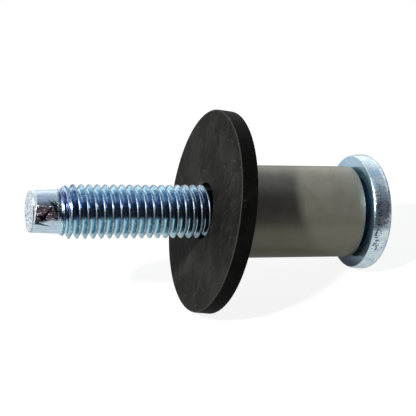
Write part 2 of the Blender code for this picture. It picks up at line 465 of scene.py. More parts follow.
@dataclass(frozen=True)
class ZincPlate(Finish):
    """Bright blue-passivated zinc on the thread.

    Heights are above the axis, places along it and reaches out from it, in millimetres. The
    phase is the share of a pitch past the crest.
    """

    name: str = "bright_zinc"
    pale: Colour = (0.66, 0.82, 0.88)
    teal: Colour = (0.38, 0.71, 0.80)
    blue: Colour = (0.33, 0.60, 0.85)
    violet: Colour = (0.24, 0.33, 0.68)
    # Dark colour of random grains and flecks, also used for painted shade on one flank of each
    # crest and for the painted reflection of the washer.
    soot_and_shade: Colour = (0.07, 0.11, 0.24)
    glint: Colour = (0.85, 0.97, 1.0)
    worn: Colour = (0.33, 0.35, 0.37)
    # Colour of the painted dark reflection band along the thread.
    dark_reflection: Colour = (0.12, 0.10, 0.11)
    # Colour of the painted highlight along the thread's root.
    line: Colour = (0.68, 0.92, 1.0)
    stain: Colour = (0.04, 0.04, 0.20)
    patches: Pattern = Pattern(0.45, 3.0)
    grain: Pattern = Pattern(1.7, 4.0, 0.75)
    sparks: Pattern = Pattern(3.2, 2.0, 0.6)
    flecks: Pattern = Pattern(1.5, 3.0, 0.65)
    smear: Pattern = Pattern(1.0, 4.0, 0.75, (3.6, 0.45, 0.45))
    streaks: Pattern = Pattern(1.0, 2.0, 0.6, (4.5, 0.25, 0.25))
    # The blue's rise with height and the violet, dark and top teal bands are painted reflection
    # tints.
    painted_blue_height: Span = (-1.5, 3.0)
    dark_reflection_height: Band = ((0.2, 0.8), (2.0, 2.7))
    violet_reflection_height: Band = ((1.8, 2.6), (3.0, 3.8))
    fleck_height: Span = (1.8, 3.0)
    painted_teal_height: Span = (3.7, 4.4)
    thread_place: Span = (-32.2, -30.8)
    stain_place: Band = ((-32.0, -31.4), (-29.5, -27.5))
    smear_place: Span = (-31.6, -29.6)
    # Where the thread is painted darker towards the washer, as a painted reflection of it.
    washer_reflection_place: Span = (-10.5, -4.5)
    crest_reach: Span = (4.72, 4.86)
    root_reach: Span = (4.05, 4.2)
    # Where one flank of each crest carries painted shade.
    shaded_phase: Band = ((0.06, 0.14), (0.28, 0.36))
    crest_place: float = -31.86
    pitch: float = 1.5
    roughness: float = 0.15
    marks: StruckMarks = StruckMarks()

    def phase(self, bench: Bench, parts: list[Signal]) -> Signal:
        """Share of a pitch past the crest: the fraction of (x - crest) / pitch - angle / turn.

        Args:
            bench: the material's bench.
            parts: x, y and z in the bolt's own frame.

        Returns:
            The phase as a signal.
        """
        along, side, top = parts
        turns = bench.maths("ARCTAN2", top, side) * (1 / FULL_TURN)
        return bench.maths("FRACT", (along - self.crest_place) * (1 / self.pitch) - turns)

    def feeds(self, bench: Bench, where: bpy.types.NodeSocket) -> dict[str, Feed]:
        """Teal below and blue above, with a dusky and a violet band, sooty grains and sparks.

        The blue's rise with height, the teal at the very top, the violet band and the dusky band
        are painted reflection, laid over real random patches of blue passivation. The root has a
        pale line, a painted highlight, one flank of each crest carries painted shade, and the
        crests are rubbed grey. The first turns are smeared, stained and gashed, and the plating is
        painted darker towards the washer, as a painted reflection of it.

        Args:
            bench: the material's bench.
            where: places in the bolt's own frame.

        Returns:
            What feeds the shader's sockets.
        """
        parts = along, side, top = bench.split(where)
        reach = reach_of(side, top)
        patches = bench.noise(where, self.patches)
        grain = bench.noise(where, self.grain)
        sparks = bench.noise(where, self.sparks)
        flecks = bench.noise(where, self.flecks)
        smear = bench.noise(where, self.smear)
        streaks = bench.noise(where, self.streaks)

        # Real random patches of blue passivation, plus a painted reflection tint that is bluer
        # higher up.
        film_and_painted_blue = (patches * 0.9 + top.rise(*self.painted_blue_height) * 0.55).rise(0.4, 0.9)
        shaded = self.phase(bench, parts).within(*self.shaded_phase)
        # Share of the painted root highlight: strong below, gone in the dark band, weaker above.
        root_highlight = 0.7 - top.rise(0.0, 0.9) * 0.7 + top.rise(2.6, 3.4) * 0.3
        flecked = top.rise(*self.fleck_height)
        crest = reach.rise(*self.crest_reach)
        start = 1 - along.rise(*self.smear_place)
        stained = along.within(*self.stain_place) * top.rise(-0.8, 0.4) * streaks.rise(0.5, 0.54)
        gashed, _ = self.marks.masks(parts, smear)
        plated = bench.layers(
            self.teal,
            (film_and_painted_blue, self.blue),
            # Painted reflection tints: a violet band, and teal again at the very top.
            (top.within(*self.violet_reflection_height) * 0.5, self.violet),
            (top.rise(*self.painted_teal_height) * 0.5, self.teal),
            # Painted shade on one flank of each crest, and a painted reflection of the washer that
            # darkens the thread towards it.
            (shaded * (0.75 - top.rise(-1.0, 1.0) * 0.4), self.soot_and_shade),
            (along.rise(*self.washer_reflection_place) * 0.6, self.soot_and_shade),
            (grain.rise(0.47, 0.6) * 0.5, self.soot_and_shade),
            # Painted highlight along the root.
            ((1 - reach.rise(*self.root_reach)) * root_highlight, self.line),
            (sparks.rise(0.57, 0.65) * 0.85, self.glint),
            (flecks.rise(0.58, 0.64) * flecked * 0.7, self.soot_and_shade),
            (flecks.rise(0.4, 0.35) * flecked * 0.8, self.glint),
            # Painted dark reflection band.
            (top.within(*self.dark_reflection_height) * 0.5, self.dark_reflection),
        )
        tint = bench.layers(
            self.pale,
            (along.rise(*self.thread_place), plated),
            (crest * sparks.rise(0.62, 0.42), self.worn),
            (stained * 0.95, self.stain),
            (gashed * 0.95, self.marks.gash),
        )
        roughness = self.roughness + crest * 0.25 + grain.rise(0.5, 0.8) * 0.1 + start * 0.12
        relief = patches * 0.4 + grain * 0.3 + sparks * (0.15 + crest * 0.5) + smear * start * 1.6
        return {
            "Base Color": tint,
            "Metallic": 1.0,
            "Roughness": roughness,
            "Normal": bench.bump(relief, 0.07),
        }


@dataclass(frozen=True)
class StruckZinc(Finish):
    """The plating on the dog point, with the bruised flat that was struck on it."""

    name: str = "struck_zinc"
    pale: Colour = (0.66, 0.82, 0.88)
    cool: Colour = (0.58, 0.70, 0.86)
    # Pale green of the end face, also painted on the bevel as a painted highlight.
    mint_and_bevel_sheen: Colour = (0.92, 1.0, 0.98)
    violet: Colour = (0.28, 0.32, 0.55)
    bruise: Colour = (0.31, 0.26, 0.29)
    scar: Colour = (0.012, 0.008, 0.014)
    ring: Colour = (0.40, 0.49, 0.57)
    smear: Pattern = Pattern(0.9, 5.0, 0.75, (0.7, 2.0, 2.0))
    grain: Pattern = Pattern(2.8, 3.0, 0.65, (1.0, 0.45, 1.0))
    scars: Pattern = Pattern(1.0, 4.0, 0.7, (0.55, 1.4, 2.6), 20.0)
    tip_x: float = -36.45
    tip_radius: float = 3.75
    taper: float = 0.0433
    skew: tuple[float, float] = END_SKEW
    face_depth: Span = (0.02, 0.1)
    ring_depth: Span = (0.12, 0.26)
    bevel_depth: Span = (0.35, 0.45)
    bevel_slope: float = 0.13
    torn_height: Span = (3.15, 3.45)
    struck_depth: Span = (0.03, 0.07)
    roughness: float = 0.17
    marks: StruckMarks = StruckMarks()

    def feeds(self, bench: Bench, where: bpy.types.NodeSocket) -> dict[str, Feed]:
        """Smeared pale plating, a speckled end face with a ring and a bevel painted pale as a
        painted highlight, and a torn flat.

        The depth from the leaning end face is x - side * skew - top * skew - tip, and the bevel
        is a little broader at the top. The flat is where the surface is nearer to the axis than
        the round of the dog point, whose radius is the tip's radius + taper * (x - tip). Its
        torn edges reach a little past that, on the side that the flat faces.

        Args:
            bench: the material's bench.
            where: places in the bolt's own frame.

        Returns:
            What feeds the shader's sockets.
        """
        parts = along, side, top = bench.split(where)
        smear = bench.noise(where, self.smear)
        grain = bench.noise(where, self.grain)
        scars = bench.noise(where, self.scars)

        depth = along - (side * self.skew[0] + top * self.skew[1]) - self.tip_x
        face = 1 - depth.rise(*self.face_depth)
        inside = (depth - top * self.bevel_slope).rise(*self.bevel_depth)
        bevel = 1 - inside
        round_radius = (along - self.tip_x) * self.taper + self.tip_radius
        torn_edge = (smear - 0.5) * self.marks.outward(side, top).rise(*self.torn_height) * 0.4
        sunk = round_radius - reach_of(side, top) + torn_edge
        struck = sunk.rise(*self.struck_depth) * inside
        gashed, creased = self.marks.masks(parts, smear)
        tint = bench.layers(
            self.pale,
            (smear.rise(0.42, 0.6), self.cool),
            # Painted highlight: the bevel is painted pale.
            (bevel * 0.7, self.mint_and_bevel_sheen),
            (1 - depth.rise(*self.ring_depth), self.ring),
            (struck, bench.blend(scars.rise(0.53, 0.6) * 0.85, self.bruise, self.scar)),
            (creased * struck, self.scar),
            (gashed * inside * 0.95, self.marks.gash),
            (face, bench.blend(grain.rise(0.5, 0.56) * 0.85, self.mint_and_bevel_sheen, self.violet)),
        )
        relief = smear * (struck * 0.8 + 0.5) + grain * (face * 0.5 + 0.12)
        return {
            "Base Color": tint,
            "Metallic": 1.0,
            "Roughness": self.roughness + struck * 0.08 + bevel * 0.3,
            "Normal": bench.bump(relief, 0.13),
        }


@dataclass(frozen=True)
class ForgedZinc(Finish):
    """The same plating over the head's forged, mottled rim."""

    name: str = "forged_zinc"
    pale: Colour = (0.86, 1.0, 1.0)
    grey: Colour = (0.62, 0.82, 0.96)
    # Dark colour of the nicks, also used for the painted dark reflection band on the rim.
    speck_and_dark_reflection: Colour = (0.06, 0.07, 0.09)
    blotch: Pattern = Pattern(0.55, 4.0, 0.65)
    fine: Pattern = Pattern(2.6, 4.0, 0.7)
    nicks: Pattern = Pattern(2.6)
    inner_edge: float = 26.9
    outer_edge: Span = (28.6, 29.3)
    outer_reach: Span = (8.8, 9.8)
    beaten_height: float = 1.5
    # Height of the painted dark reflection band on the rim.
    rim_reflection_height: float = 1.6
    rubbed_height: Band = ((5.0, 6.5), (8.6, 9.8))
    roughness: float = 0.2

    def feeds(self, bench: Bench, where: bpy.types.NodeSocket) -> dict[str, Feed]:
        """Blotches, a lumpy skin, and dark nicks which gather along the rim's two edges.

        The nicks are thickest a little above the axis, where a painted dark reflection also
        darkens the rim, and the skin is rubbed duller higher up.

        Args:
            bench: the material's bench.
            where: places in the bolt's own frame.

        Returns:
            What feeds the shader's sockets.
        """
        along, side, top = bench.split(where)
        blotch = bench.noise(where, self.blotch)
        fine = bench.noise(where, self.fine)
        outer = along.rise(*self.outer_edge) * reach_of(side, top).rise(*self.outer_reach)
        edges = along.near(self.inner_edge, (0.2, 0.9)) * 0.7 + outer * 0.5
        beaten = top.near(self.beaten_height, (4.5, 8.0))
        nicks = bench.noise(where, self.nicks) + edges * (0.04 + beaten * 0.18) - 0.015
        tint = bench.layers(
            self.pale,
            (blotch.rise(0.4, 0.6), self.grey),
            # Painted dark reflection band a little above the axis.
            (top.near(self.rim_reflection_height, (0.4, 1.2)) * 0.4, self.speck_and_dark_reflection),
            (nicks.rise(0.65, 0.69) * 0.92, self.speck_and_dark_reflection),
        )
        rubbed = top.within(*self.rubbed_height)
        return {
            "Base Color": tint,
            "Metallic": 1.0,
            "Roughness": self.roughness + fine.rise(0.4, 0.7) * 0.14 + rubbed * 0.14,
            "Normal": bench.bump(blotch * 1.3 + fine * 0.55, 0.09),
        }


@dataclass(frozen=True)
class ShadedZinc(Finish):
    """Smooth plating on the head's underside and the shank, which mirrors the sleeve's end, in a
    darker tint as painted shade.
    """

    name: str = "shaded_zinc"
    # Darker than the thread's plating, as painted shade.
    petrol: Colour = (0.42, 0.64, 0.86)
    # Pale blue of random clouds, also painted towards the top as painted light.
    cyan_and_top_light: Colour = (0.60, 0.84, 1.0)
    # Painted shade towards the bottom.
    bottom_shade: Colour = (0.05, 0.06, 0.09)
    clouds: Pattern = Pattern(0.5, 3.0)
    top_light_height: Span = (6.0, 9.5)
    bottom_shade_height: Span = (-9.5, -4.0)
    roughness: float = 0.18

    def feeds(self, bench: Bench, where: bpy.types.NodeSocket) -> dict[str, Feed]:
        """Petrol tint with a faint lumpy relief, paler at the top as painted light and darker at
        the bottom as painted shade.

        Args:
            bench: the material's bench.
            where: places in the bolt's own frame.

        Returns:
            What feeds the shader's sockets.
        """
        clouds = bench.noise(where, self.clouds)
        _, _, top = bench.split(where)
        tint = bench.layers(
            self.petrol,
            # Random clouds, and paler towards the top as painted light.
            (clouds.rise(0.3, 0.7) * 0.3 + top.rise(*self.top_light_height) * 0.7, self.cyan_and_top_light),
            # Painted shade towards the bottom.
            ((1 - top.rise(*self.bottom_shade_height)) * 0.95, self.bottom_shade),
        )
        return {
            "Base Color": tint,
            "Metallic": 1.0,
            "Roughness": self.roughness,
            "Normal": bench.bump(clouds, 0.03),
        }


@dataclass(frozen=True)
class SatinSteel(Finish):
    """Olive-grey satin of the turned sleeve."""

    name: str = "satin_steel"
    light: Colour = (0.240, 0.236, 0.190)
    dark: Colour = (0.186, 0.182, 0.142)
    # Warm stain colour of the random mottle, also used for painted shade on the lower half.
    stained: Colour = (0.162, 0.152, 0.106)
    rings: Pattern = Pattern(1.0, 4.0, 0.7, (3.0, 0.12, 0.12))
    clouds: Pattern = Pattern(0.25, 3.0)
    mottle: Pattern = Pattern(0.9, 5.0, 0.75)
    # Height over which the painted shade on the lower half fades out.
    painted_shade_height: Span = (0.5, 3.0)
    metal: float = 0.55
    roughness: float = 0.36

    def feeds(self, bench: Bench, where: bpy.types.NodeSocket) -> dict[str, Feed]:
        """Fine lathe rings round the axis, cloudy patches and warm stains, and painted shade that
        darkens and warms the lower half.

        Args:
            bench: the material's bench.
            where: places in the sleeve's own frame.

        Returns:
            What feeds the shader's sockets.
        """
        rings = bench.noise(where, self.rings)
        clouds = bench.noise(where, self.clouds)
        mottle = bench.noise(where, self.mottle)
        _, _, top = bench.split(where)
        tint = bench.layers(
            self.light,
            (clouds.rise(0.3, 0.7) * 0.6 + rings * 0.3, self.dark),
            (mottle.rise(0.5, 0.7) * 0.55, self.stained),
            # Painted shade: the lower half is darker and warmer.
            ((1 - top.rise(*self.painted_shade_height)) * (0.6 + clouds * 0.4), self.stained),
        )
        return {
            "Base Color": tint,
            "Metallic": self.metal,
            "Roughness": self.roughness + rings.rise(0.3, 0.7) * 0.06,
            "Normal": bench.bump(rings, 0.004),
        }


@dataclass(frozen=True)
class BlackPhosphate(Finish):
    """Oiled black of the washer, with faint scuffs and dust."""

    name: str = "black_phosphate"
    black: Colour = (0.0066, 0.0064, 0.0052)
    scuffed: Colour = (0.0255, 0.0255, 0.0225)
    # Grey of the rubbed scratches, also used for the painted highlight along the face's outer edge.
    rubbed: Colour = (0.05, 0.05, 0.042)
    rim: Colour = (0.001, 0.001, 0.001)
    # Colour of the painted reflection of the thread beside the bore.
    thread_reflection: Colour = (0.05, 0.068, 0.064)
    dust: Colour = (0.16, 0.16, 0.14)
    clouds: Pattern = Pattern(0.16, 4.0, 0.6)
    scuffs: Pattern = Pattern(0.8, 5.0, 0.7, (1.0, 1.6, 0.35))
    scratches: Pattern = Pattern(1.5, 2.0, 0.5, (1.0, 2.4, 0.1))
    specks: Pattern = Pattern(2.0, 1.0)
    skin: Pattern = Pattern(2.5, 5.0, 0.7)
    bore_reach: Span = (5.4, 6.8)
    # Side and height of the painted reflection beside the bore.
    reflection_side: Span = (0.5, 3.5)
    reflection_height: float = 1.5
    # Where the painted highlight along the face's outer edge lies.
    edge_highlight_reach: Band = ((18.55, 18.72), (18.84, 18.9))
    rim_reach: Span = (18.86, 18.9)
    mirror_index: float = 1.11
    roughness: float = 0.5

    def feeds(self, bench: Bench, where: bpy.types.NodeSocket) -> dict[str, Feed]:
        """Cloudy black with grey scuffs, fine scratches and a few pale specks of dust.

        Beside the bore the face is painted paler as a painted reflection of the thread, its outer
        edge carries a painted highlight, and the rim is blacker still.

        Args:
            bench: the material's bench.
            where: places in the washer's own frame.

        Returns:
            What feeds the shader's sockets.
        """
        _, side, top = bench.split(where)
        reach = reach_of(side, top)
        clouds = bench.noise(where, self.clouds)
        scuffs = bench.noise(where, self.scuffs)
        scratches = bench.noise(where, self.scratches)
        # Where the painted reflection of the thread lies, on one side of the bore.
        mirrored = side.rise(*self.reflection_side) * top.near(self.reflection_height, (1.0, 4.0))
        tint = bench.layers(
            self.black,
            (scuffs.rise(0.46, 0.66) * 0.36 + clouds.rise(0.4, 0.62) * 0.4, self.scuffed),
            (bench.noise(where, self.specks).rise(0.72, 0.76) * 0.6, self.dust),
            (scratches.rise(0.64, 0.7) * 0.28, self.rubbed),
            # Painted reflection of the thread beside the bore.
            ((1 - reach.rise(*self.bore_reach)) * mirrored * 0.8, self.thread_reflection),
            # Painted highlight along the face's outer edge.
            (reach.within(*self.edge_highlight_reach) * 0.5, self.rubbed),
            (reach.rise(*self.rim_reach) * 0.75, self.rim),
        )
        return {
            "Base Color": tint,
            "Metallic": 0.0,
            "Roughness": self.roughness + clouds * 0.1,
            "IOR": self.mirror_index,
            "Normal": bench.bump(bench.noise(where, self.skin), 0.03),
        }


class Shell:
    """Grids of points woven into one closed mesh, with a finish number for each face."""

    def __init__(self) -> None:
        """Start with nothing."""
        self.points: list[np.ndarray] = []
        self.faces: list[tuple[np.ndarray, int]] = []
        self.total = 0

    def lay(self, points: np.ndarray) -> np.ndarray:
        """Add a grid of points.

        Args:
            points: array whose last axis holds x, y and z in millimetres.

        Returns:
            The points' numbers, in the grid's own shape.
        """
        count = points[..., 0].size
        self.points.append(points.reshape(-1, 3))
        numbers = np.arange(self.total, self.total + count).reshape(points.shape[:-1])
        self.total += count
        return numbers

    def face(self, corners: list[np.ndarray], finish: int = 0) -> None:
        """Add faces, given as arrays of their first corners, their second ones and so on."""
        self.faces.append((np.stack(corners, axis=-1).reshape(-1, len(corners)), finish))

    def bridge(self, first: np.ndarray, second: np.ndarray) -> None:
        """Add the faces between rows of points and the rows after them, open at their ends."""
        self.face([first[..., :-1], first[..., 1:], second[..., 1:], second[..., :-1]])

    def weave(self, numbers: np.ndarray, finish: int = 0) -> None:
        """Add the faces between successive rows of a grid whose columns close round the axis."""
        after = np.roll(numbers, -1, axis=1)
        self.face([numbers[:-1], after[:-1], after[1:], numbers[1:]], finish)

    def fan(self, hub: int, chain: np.ndarray, finish: int = 0) -> None:
        """Add triangles from a hub to each pair of neighbours in a chain."""
        self.face([np.full(len(chain) - 1, hub), chain[:-1], chain[1:]], finish)

    def make(
        self, name: str, place: Place, materials: list[bpy.types.Material]
    ) -> bpy.types.Object:
        """Turn the gathered grids into an object at the row frame's origin.

        Args:
            name: the piece's name.
            place: the piece's own frame.
            materials: one for each finish number.

        Returns:
            The object, with its place in its mesh.
        """
        mesh = bpy.data.meshes.new(name)
        corners = [row for faces, _ in self.faces for row in faces.tolist()]
        mesh.from_pydata(place.carry(np.concatenate(self.points)), [], corners)
        finishes = np.concatenate([np.full(len(faces), finish) for faces, finish in self.faces])
        mesh.polygons.foreach_set("material_index", finishes.astype(np.int32))
        for material in materials:
            mesh.materials.append(material)
        mesh.shade_smooth()
        mesh.set_sharp_from_angle(angle=SHARP_ANGLE)
        mesh.validate()
        thing = bpy.data.objects.new(name, mesh)
        bpy.context.scene.collection.objects.link(thing)
        return thing


def column_angles(columns: int) -> np.ndarray:
    """Angles of a grid's columns about the axis, one facet level at the bottom."""
    return FULL_TURN * (np.arange(columns) + 0.5) / columns


def on_axis(x: np.ndarray, radius: np.ndarray, angle: np.ndarray) -> np.ndarray:
    """Points about the x axis.

    The point is (x, radius * cos(angle), radius * sin(angle)).

    Args:
        x: places along the axis.
        radius: distances from the axis.
        angle: angles, zero along y and a quarter turn along z.

    Returns:
        Points of the shape that the three arrays share.
    """
    x, radius, angle = np.broadcast_arrays(x, radius, angle)
    return np.stack([x, radius * np.cos(angle), radius * np.sin(angle)], axis=-1)


def arc(centre: tuple, radii: tuple, start: float, end: float, steps: int) -> np.ndarray:
    """Points on a stretch of an ellipse, as rows of x and radius.

    The point is (cx + rx * cos(t), cy + ry * sin(t)) for t from start to end, in degrees.

    Args:
        centre: the ellipse's middle.
        radii: its two half axes.
        start: angle of the first point.
        end: angle of the last point.
        steps: number of points.

    Returns:
        The points.
    """
    turn = np.radians(np.linspace(start, end, steps))
    x, y = centre[0] + radii[0] * np.cos(turn), centre[1] + radii[1] * np.sin(turn)
    return np.stack([x, y], axis=-1)


def line(first: tuple, last: tuple, steps: int) -> np.ndarray:
    """Points evenly along a straight line, without its two ends."""
    share = np.linspace(0, 1, steps + 2)[1:-1, None]
    return (1 - share) * np.array(first) + share * np.array(last)


@dataclass(frozen=True)
class StruckFlat:
    """A rippled, slightly twisted flat struck on the dog point, which cuts its round.

    At the place x it faces out at an angle about the axis and keeps a reach from the axis.
    Further along it turns by twist for each millimetre of its twisted length, and rises by slope
    for each millimetre, up to a last reach. Past its slanting end it rises out of the surface.
    """

    x: float = -35.6
    angle: float = 166.2
    twist: float = -1.84
    twisted_length: float = 2.6
    reach: float = 3.39
    slope: float = 0.128
    last_reach: float = 3.72
    ripple: float = 0.014
    end: float = -31.5
    end_slant: float = 0.57
    end_rise: float = 1.5
    least_facing: float = 0.2

    def radius(self, x: np.ndarray, angle: np.ndarray) -> np.ndarray:
        """Distance from the axis to the flat.

        With u = x - x0 along the flat and v across it, the ripple is
        sin(3.1 * u + 5.2 * v) + 0.7 * sin(8.3 * u - 2.6 * v), the rise past the end is
        end rise * (x - end - end slant * v), and the distance is
        (min(reach + slope * u, last reach) + ripple + rise) / cos(angle - facing). It is endless
        on the far side.

        Args:
            x: places along the axis.
            angle: angles about the axis.

        Returns:
            The distances.
        """
        along = x - self.x
        twisted = self.twist * np.clip(along, 0.0, self.twisted_length)
        turned = angle - np.radians(self.angle + twisted)
        facing = np.cos(turned)
        across = self.last_reach * turned
        waves = np.sin(3.1 * along + 5.2 * across) + 0.7 * np.sin(8.3 * along - 2.6 * across)
        past = x - self.end - self.end_slant * across
        reach = np.minimum(self.reach + self.slope * along, self.last_reach) + self.ripple * waves
        reach = reach + self.end_rise * np.maximum(past, 0.0)
        least = self.least_facing
        return np.where(facing > least, reach / np.maximum(facing, least), np.inf)


@dataclass
class Bolt:
    """The bolt in one piece: dog point, right-hand thread, neck, shank and head with its drive."""

    place: Place
    columns: int = 144
    major_radius: float = 4.925
    pitch: float = 1.5
    thread_length: float = 31.25
    thread_depth: float = 0.9
    root_flat: float = 0.26
    crest_flat: float = 0.16
    corner: float = 0.05
    crest_start: float = -31.11
    turns: int = 19
    start_slope: float = 0.55
    end_slope: float = 0.6
    dog_length: float = 5.2
    dog_tip_radius: float = 3.75
    dog_base_radius: float = 3.975
    dog_chamfer: float = 0.26
    dog_rows: int = 60
    skew: tuple[float, float] = END_SKEW
    skew_length: float = 2.0
    seam: float = 0.05
    neck_gap: float = 0.1
    neck_fillet: float = 0.3
    shank_radius: float = 6.65
    shank_length: float = 25.9
    shank_chamfer: float = 0.3
    shank_fillet: float = 0.4
    head_radius: float = 11.1 * BOLT_INSCRIBED
    underside_radius: float = 10.7 * BOLT_INSCRIBED
    face_radius: float = 8.3
    head_thickness: float = 4.3
    belly: float = 2.2
    underside_rows: int = 14
    lobe_radius: float = 4.4
    valley_radius: float = 3.2
    drive_depth: float = 3.6
    drive_chamfer: float = 0.2
    drive_cone: float = 0.6
    lobes: int = 6
    flat: StruckFlat = StruckFlat()

    @property
    def root_radius(self) -> float:
        """Radius of the thread's root and of the neck."""
        return self.major_radius - self.thread_depth

    @property
    def tip_x(self) -> float:
        """Place of the dog point's end face."""
        return -self.thread_length - self.dog_length

    def dog_radius(self, x: np.ndarray) -> np.ndarray:
        """Radius of the tapered dog point: it grows evenly from its tip to its base."""
        share = (x - self.tip_x) / self.dog_length
        return self.dog_tip_radius + (self.dog_base_radius - self.dog_tip_radius) * share

    def lay_dog(self, shell: Shell) -> np.ndarray:
        """Lay the dog point from the middle of its end face to the thread's first turn.

        Its end face is flat rings with a rounded edge. The rows after that end along the
        thread's slant, at x = crest start - pitch * (1 - angle / full turn) - seam, and the
        struck flat cuts them. The end face leans: each point moves along by
        (y * first skew + z * second skew) * (1 - depth / skew length).

        Args:
            shell: the mesh in the making.

        Returns:
            Numbers of its last ring.
        """
        angle = column_angles(self.columns)[None, :]
        edge = self.dog_tip_radius - self.dog_chamfer
        hub = shell.lay(np.array([[self.tip_x, 0.0, 0.0]]))[0]
        face_share = np.linspace(0.3, 1.0, 6)[:, None]
        face = on_axis(self.tip_x, face_share * edge, angle)
        centre = (self.tip_x + self.dog_chamfer, edge)
        rounding = arc(centre, (-self.dog_chamfer, self.dog_chamfer), 0, 80, 7)[1:]
        shape = (len(rounding), self.columns)
        last_x = self.crest_start - self.pitch * (1 - angle / FULL_TURN) - self.seam
        first_x = self.tip_x + self.dog_chamfer * 1.1
        body_x = first_x + (last_x - first_x) * np.linspace(0, 1, self.dog_rows)[:, None]
        x = np.concatenate([np.broadcast_to(rounding[:, :1], shape), body_x])
        radius = np.concatenate([np.broadcast_to(rounding[:, 1:], shape), self.dog_radius(body_x)])
        radius = np.minimum(radius, self.flat.radius(x, angle))
        points = np.concatenate([face, on_axis(x, radius, angle)])
        fade = np.clip(1 - (points[..., 0] - self.tip_x) / self.skew_length, 0, 1)
        points[..., 0] += fade * (points[..., 1:] @ np.array(self.skew))
        rows = shell.lay(points)
        shell.fan(hub, np.append(rows[0], rows[0, 0])[::-1], Skin.DOG)
        shell.weave(rows, Skin.DOG)
        return rows[-1]

    def thread_section(self) -> tuple[np.ndarray, np.ndarray]:
        """One pitch of the thread from root to root, with its points closest where it bends.

        At a distance d from the crest's middle the flank stands at u = (foot - d) / run. The
        height is u held between 0 and 1 with rounded corners:
        (sqrt(u^2 + c^2) - sqrt((u - 1)^2 + c^2) + 1) / 2.

        Returns:
            Distances along the axis from the crest's middle, and radii.
        """
        half = np.array([0.04, 0.07, 0.10, 0.14, 0.25, 0.40, 0.54, 0.60, 0.66])
        offset = np.concatenate([[-self.pitch / 2], -half[::-1], [0.0], half])
        run = (self.pitch - self.root_flat - self.crest_flat) / 2
        up = (self.crest_flat / 2 + run - np.abs(offset)) / run
        height = (np.hypot(up, self.corner) - np.hypot(up - 1, self.corner) + 1) / 2
        return offset, self.root_radius + self.thread_depth * height

    def lay_thread(self, shell: Shell, start: np.ndarray) -> np.ndarray:
        """Lay the helical thread after a ring, and a plain ring after the thread.

        Row r of the section in turn t stands, in column c, at
        x = crest + offset(r) + pitch * (t + angle(c) / full turn).
        Its radius is held under two slopes, so that the thread grows out of the dog point and
        runs out into the neck. The last column of a row meets the first one of the next turn,
        and a fan at each end closes the step that is left there.

        Args:
            shell: the mesh in the making.
            start: numbers of the ring before the thread.

        Returns:
            Numbers of the ring after the thread.
        """
        angle = column_angles(self.columns)
        offset, full_radius = self.thread_section()
        rows = len(offset)
        turn = np.repeat(np.arange(self.turns), rows)
        first_x = self.crest_start - self.pitch * 0.5
        x = (first_x + np.tile(offset, self.turns) + self.pitch * turn)[:, None]
        x = x + self.pitch * angle / FULL_TURN
        end_x = x.max()
        low = self.dog_radius(np.minimum(x, -self.thread_length))
        low = low + self.start_slope * np.maximum(0.0, x + self.thread_length)
        high = self.root_radius + self.end_slope * np.maximum(0.0, end_x - x)
        radius = np.minimum(np.tile(full_radius, self.turns)[:, None], np.minimum(low, high))
        grid = shell.lay(on_axis(x, radius, angle[None, :]))
        shell.bridge(grid[:-1], grid[1:])
        last, after = grid[:-rows, -1], grid[rows:, 0]
        shell.face([last[:-1], after[:-1], after[1:], last[1:]])

        shell.bridge(start, grid[0])
        shell.fan(grid[0, -1], np.concatenate([start[[-1, 0]], grid[:rows + 1, 0]]))
        end = shell.lay(on_axis(end_x + self.neck_gap, self.root_radius, angle))
        shell.bridge(grid[-1], end)
        shell.fan(grid[-1, 0], np.concatenate([end[[0, -1]], grid[-rows - 1:, -1][::-1]]))
        return end

    def body_profile(self) -> np.ndarray:
        """Neck, shoulder, shank and fillet as rows of x and radius."""
        root, shank = self.root_radius, self.shank_radius
        neck, edge, fillet = self.neck_fillet, self.shank_chamfer, self.shank_fillet
        end_x = self.shank_length - fillet
        return np.concatenate([
            line((-2 * neck, root), (-neck, root), 1),
            arc((-neck, root + neck), (neck, -neck), 90, 0, 5),
            line((0.0, root + neck), (0.0, shank - edge), 2),
            arc((edge, shank - edge), (-edge, edge), 0, 90, 6),
            line((edge, shank), (end_x, shank), 12),
            arc((end_x, shank + fillet), (fillet, -fillet), 90, 0, 6),
        ])

    def head_profile(self) -> np.ndarray:
        """Underside, barrel-shaped rim and edge of the outer face, as rows of x and radius."""
        under_x, inner = self.shank_length, self.shank_radius + self.shank_fillet
        under, face = self.underside_radius, self.face_radius
        middle, fall = under_x + self.belly, self.head_thickness - self.belly
        return np.concatenate([
            line((under_x, inner), (under_x, under), self.underside_rows),
            arc((middle, under), (-self.belly, self.head_radius - under), 0, 90, 18),
            arc((middle, face), (fall, self.head_radius - face), 90, 0, 24)[1:],
        ])

    def drive_outline(self, angle: np.ndarray) -> np.ndarray:
        """Six-lobe outline: the middle radius plus a swing of cos(lobes * angle)."""
        middle = (self.lobe_radius + self.valley_radius) / 2
        swing = (self.lobe_radius - self.valley_radius) / 2
        return middle + swing * np.cos(self.lobes * angle)

